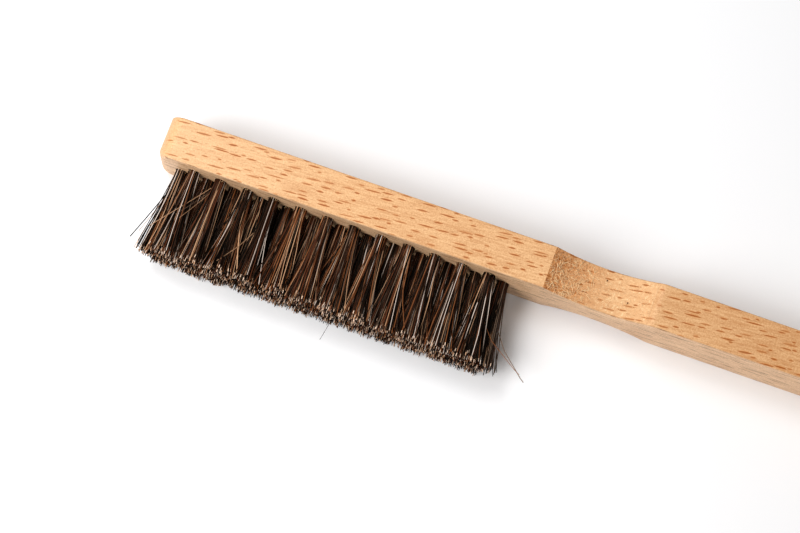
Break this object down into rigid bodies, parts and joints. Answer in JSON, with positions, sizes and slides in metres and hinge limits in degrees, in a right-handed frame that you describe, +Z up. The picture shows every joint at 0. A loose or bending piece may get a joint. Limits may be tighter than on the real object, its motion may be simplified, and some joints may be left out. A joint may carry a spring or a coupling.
{
  "type": "body dry brush",
  "caption": "Straight beech body brush with staggered rows of dark horsehair tufts, a scooped neck and a long plain handle with a hanging hole.",
  "frame": {"origin": "middle of the brush's box, on the surface that it lies on", "axes": "+X from the tip of the head to the end of the handle, +Y the back with the bristles towards -Y, +Z up across the bar's width"},
  "size_m": [0.264, 0.042, 0.02],
  "materials": {
    "beech": "matte",
    "horsehair": "satin",
    "anchor_wire": "satin"
  },
  "bodies": {
    "root": {"handle_block": "beech", "tuft_upper_01": "horsehair", "tuft_upper_02": "horsehair", "tuft_upper_03": "horsehair", "tuft_upper_04": "horsehair", "tuft_upper_05": "horsehair", "tuft_upper_06": "horsehair", "tuft_upper_07": "horsehair", "tuft_upper_08": "horsehair", "tuft_upper_09": "horsehair", "tuft_upper_10": "horsehair", "tuft_upper_11": "horsehair", "tuft_upper_12": "horsehair", "tuft_middle_01": "horsehair", "tuft_middle_02": "horsehair", "tuft_middle_03": "horsehair", "tuft_middle_04": "horsehair", "tuft_middle_05": "horsehair", "tuft_middle_06": "horsehair", "tuft_middle_07": "horsehair", "tuft_middle_08": "horsehair", "tuft_middle_09": "horsehair", "tuft_middle_10": "horsehair", "tuft_middle_11": "horsehair", "tuft_middle_12": "horsehair", "tuft_middle_13": "horsehair", "tuft_lower_01": "horsehair", "tuft_lower_02": "horsehair", "tuft_lower_03": "horsehair", "tuft_lower_04": "horsehair", "tuft_lower_05": "horsehair", "tuft_lower_06": "horsehair", "tuft_lower_07": "horsehair", "tuft_lower_08": "horsehair", "tuft_lower_09": "horsehair", "tuft_lower_10": "horsehair", "tuft_lower_11": "horsehair", "tuft_lower_12": "horsehair", "anchors_upper": "anchor_wire", "anchors_middle": "anchor_wire", "anchors_lower": "anchor_wire"}
  },
  "joints": []
}
